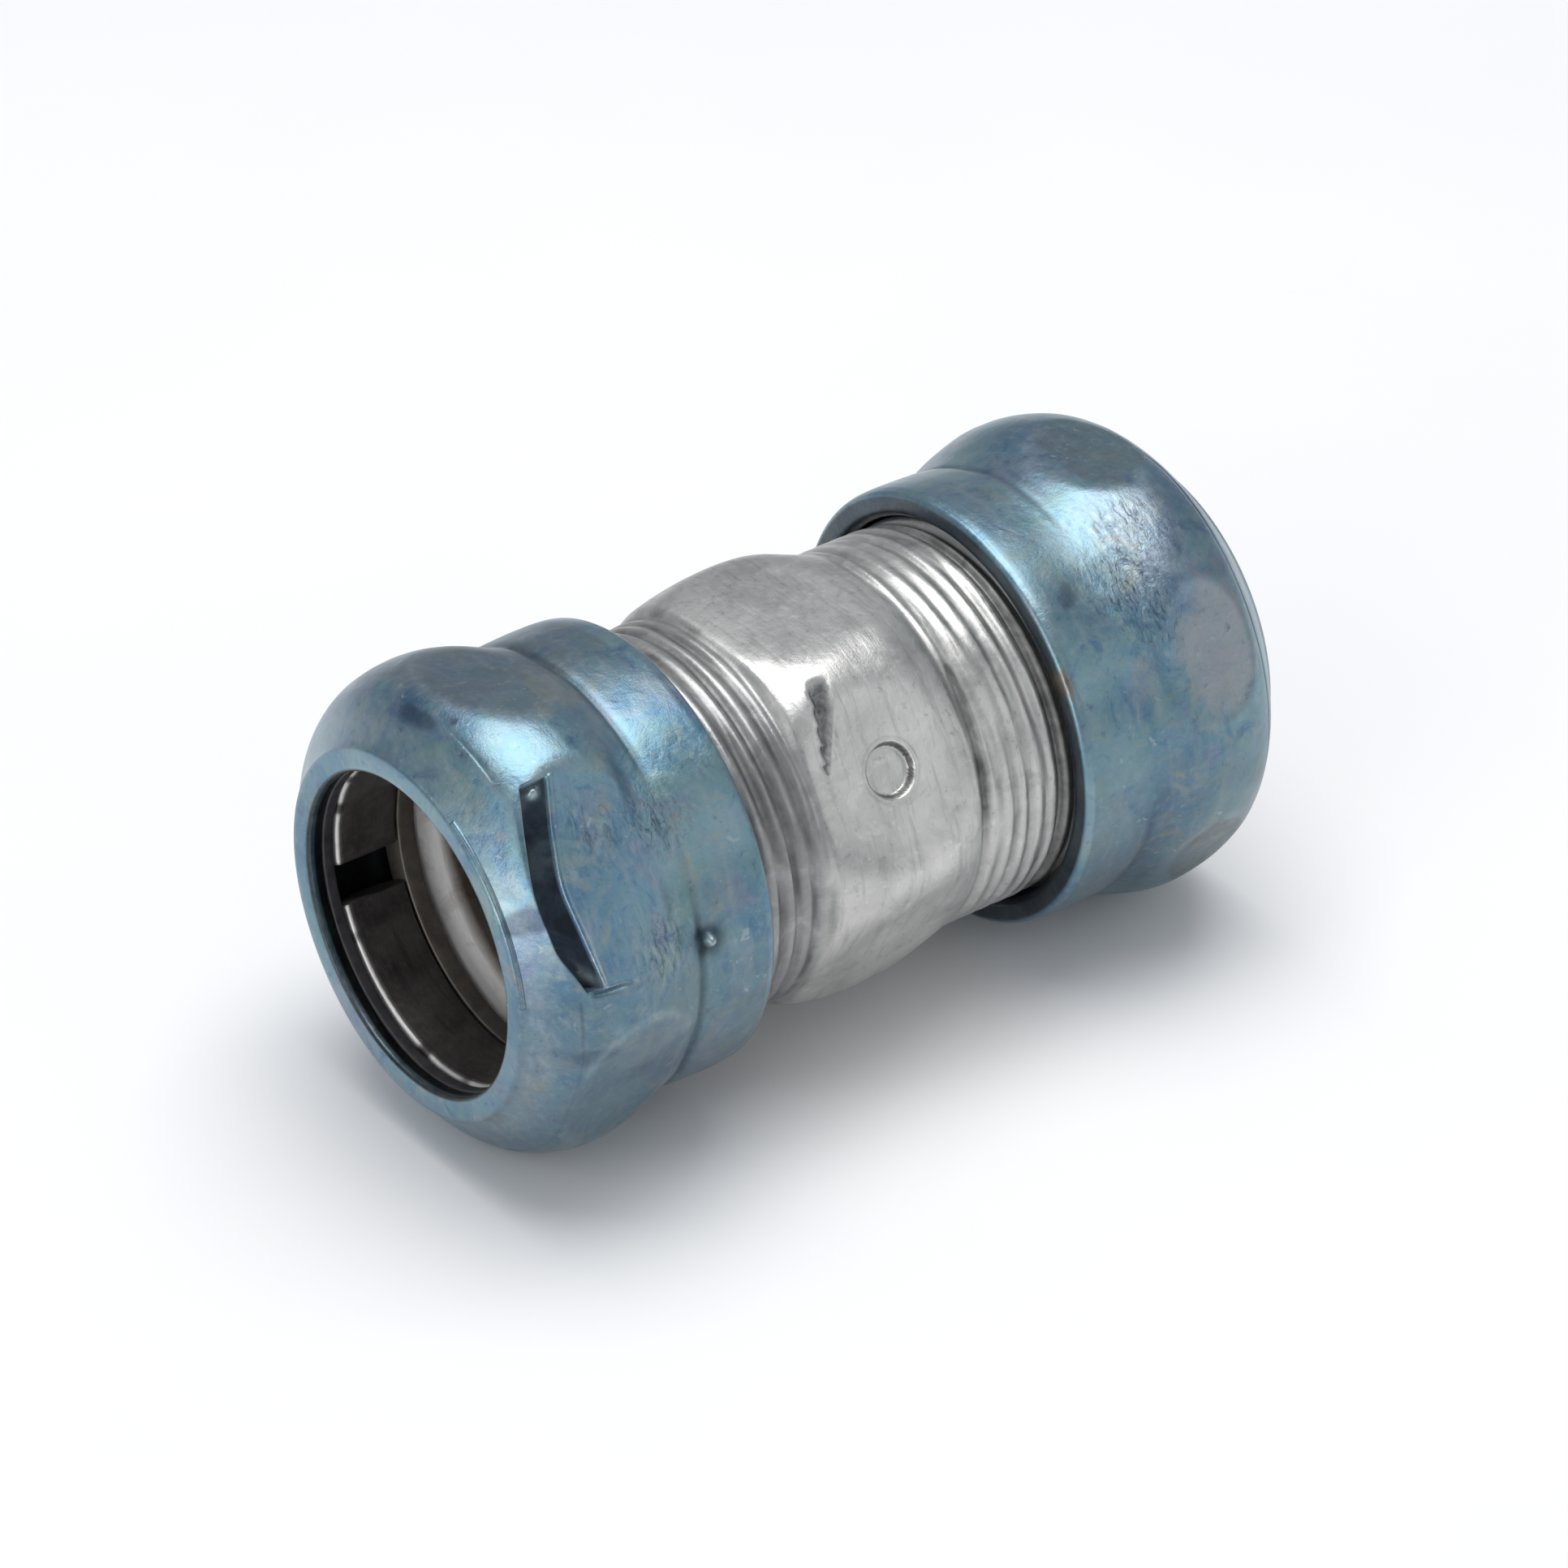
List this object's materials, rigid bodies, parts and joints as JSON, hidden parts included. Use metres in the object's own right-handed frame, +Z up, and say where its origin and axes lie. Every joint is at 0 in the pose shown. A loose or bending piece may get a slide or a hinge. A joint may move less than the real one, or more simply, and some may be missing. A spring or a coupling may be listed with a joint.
{
  "type": "compression coupling",
  "caption": "Two-ended compression coupling that joins thin-wall steel tubes: threaded hex-waisted barrel with a domed hex gland nut, seal, split ring and washer at each end.",
  "frame": {"origin": "middle of the assembly's box, on the tube axis", "axes": "+X along the tube axis from the left nut to the right nut, +Z up when it lies on its nut flats, +Y away from the front"},
  "size_m": [0.0514, 0.0278, 0.0274],
  "materials": {
    "zinc_barrel": "satin zinc plate, bright on the crests, dull in the grooves",
    "blue_chromate_nut": "patchy iridescent blue chromate over zinc, semi-gloss",
    "black_seal": "matte black elastomer",
    "dark_spring_steel": "oil-dark brown spring steel with bright edges",
    "brown_washer": "dull brown steel"
  },
  "bodies": {
    "barrel": {"coupling_body": "zinc_barrel"},
    "left_rings": {"left_tube_seal": "black_seal", "left_split_ring": "dark_spring_steel", "left_end_washer": "brown_washer"},
    "left_nut": {"left_gland_nut": "blue_chromate_nut"},
    "right_rings": {"right_tube_seal": "black_seal", "right_split_ring": "dark_spring_steel", "right_end_washer": "brown_washer"},
    "right_nut": {"right_gland_nut": "blue_chromate_nut"}
  },
  "joints": [
    {"name": "left_thread_travel", "type": "slide", "parent": "barrel", "child": "left_rings", "axis": [-1, 0, 0], "range_m": [0, 0.0064]},
    {"name": "left_nut_turn", "type": "hinge", "parent": "left_rings", "child": "left_nut", "pos_m": [-0.018, 0, 0], "axis": [-1, 0, 0], "range_deg": [0, 2160]},
    {"name": "right_thread_travel", "type": "slide", "parent": "barrel", "child": "right_rings", "axis": [1, 0, 0], "range_m": [-0.00096, 0.00545]},
    {"name": "right_nut_turn", "type": "hinge", "parent": "right_rings", "child": "right_nut", "pos_m": [0.018, 0, 0], "axis": [1, 0, 0], "range_deg": [-320, 1840]}
  ],
  "couplings": [
    {"joint": "left_thread_travel", "follows": "left_nut_turn", "m_per_rad": 0.00016843},
    {"joint": "right_thread_travel", "follows": "right_nut_turn", "m_per_rad": 0.00016843}
  ]
}
